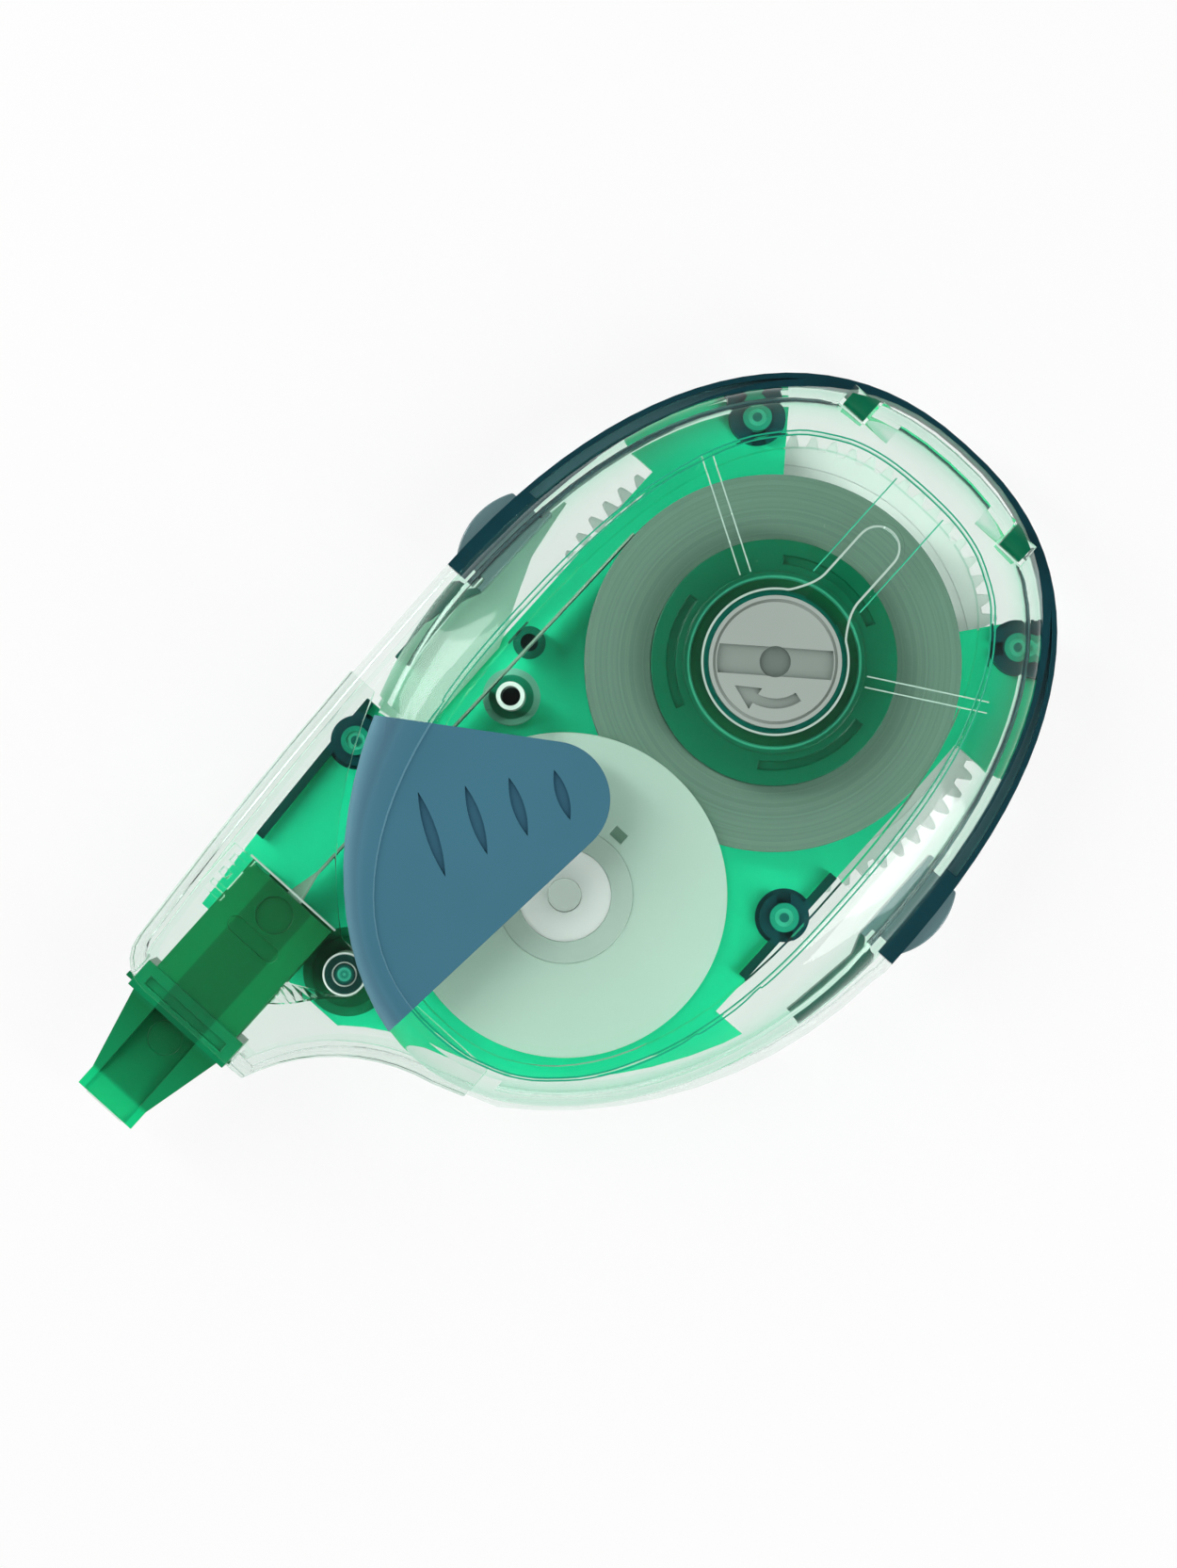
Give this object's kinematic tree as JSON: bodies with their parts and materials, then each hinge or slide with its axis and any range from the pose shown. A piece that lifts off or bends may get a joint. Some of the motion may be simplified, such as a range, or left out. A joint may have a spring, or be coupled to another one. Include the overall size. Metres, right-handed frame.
{
  "type": "correction tape roller",
  "caption": "Clear refillable correction tape dispenser: geared reels, flat applicator tip, hinged oval lid with blue grip, side release buttons and slack knob.",
  "frame": {"origin": "on the supply reel's axis, on the flat back face that the dispenser lies on", "axes": "+X from the applicator tip towards the hinge end, +Y across, +Z out of the front face"},
  "size_m": [0.0972, 0.0566, 0.0182],
  "materials": {
    "clear_case": "clear polystyrene, glossy",
    "clear_lid": "clear polystyrene, glossy",
    "teal_band": "dark teal, satin",
    "green_frame": "translucent emerald green",
    "guard_film": "frosted pale green, translucent",
    "green_head": "translucent dark emerald green",
    "white_tape": "matt white",
    "carrier_film": "clear film",
    "white_roller": "white",
    "blue_grip": "blue, satin",
    "gear_plastic": "natural acetal",
    "clutch_rubber": "dark grey",
    "grey_knob": "grey, satin",
    "green_core": "dark green",
    "wound_tape": "edge of wound tape, grey green",
    "natural_hub": "natural, translucent",
    "frosted_disc": "frosted, translucent",
    "button_plastic": "translucent grey blue",
    "spring_plastic": "dark green"
  },
  "bodies": {
    "root": {"back_shell": "clear_case", "nose_cover": "clear_case", "rim_band": "teal_band", "hinge_bracket": "green_head", "cartridge_frame": "green_frame", "tape_guard": "guard_film", "applicator_head": "green_head", "tape_feed_run": "white_tape", "carrier_return_run": "carrier_film"},
    "lid": {"front_lid": "clear_lid", "grip_pad": "blue_grip"},
    "drive": {"drive_gear": "gear_plastic", "clutch_ring": "clutch_rubber", "slack_knob": "grey_knob"},
    "supply": {"supply_core": "green_core", "tape_roll": "wound_tape"},
    "take_up": {"take_up_gear": "gear_plastic", "take_up_hub": "natural_hub", "take_up_flange": "frosted_disc", "carrier_winding": "carrier_film"},
    "latch_upper": {"latch_button_upper": "button_plastic", "latch_spring_upper": "spring_plastic"},
    "latch_lower": {"latch_button_lower": "button_plastic", "latch_spring_lower": "spring_plastic"},
    "roller": {"guide_roller": "white_roller"}
  },
  "joints": [
    {"name": "lid_hinge", "type": "hinge", "parent": "root", "child": "lid", "pos_m": [0.023, 0.0003, 0.012], "axis": [0, 1, 0], "range_deg": [0, 90]},
    {"name": "drive_gear_spin", "type": "hinge", "parent": "root", "child": "drive", "pos_m": [0, 0, 0], "axis": [0, 0, 1], "continuous": true},
    {"name": "supply_slip", "type": "hinge", "parent": "drive", "child": "supply", "pos_m": [0, 0, 0], "axis": [0, 0, 1], "continuous": true},
    {"name": "take_up_spin", "type": "hinge", "parent": "root", "child": "take_up", "pos_m": [-0.0282, 0, 0], "axis": [0, 0, 1], "continuous": true},
    {"name": "guide_roller_spin", "type": "hinge", "parent": "root", "child": "roller", "pos_m": [-0.0469, 0.01, 0], "axis": [0, 0, 1], "continuous": true},
    {"name": "latch_upper_press", "type": "slide", "parent": "root", "child": "latch_upper", "axis": [0, -1, 0], "range_m": [0, 0.0012], "stiffness_N_per_m": 600},
    {"name": "latch_lower_press", "type": "slide", "parent": "root", "child": "latch_lower", "axis": [0, 1, 0], "range_m": [0, 0.0012], "stiffness_N_per_m": 600}
  ],
  "couplings": [
    {"joint": "take_up_spin", "follows": "drive_gear_spin", "ratio": -2.9167}
  ]
}
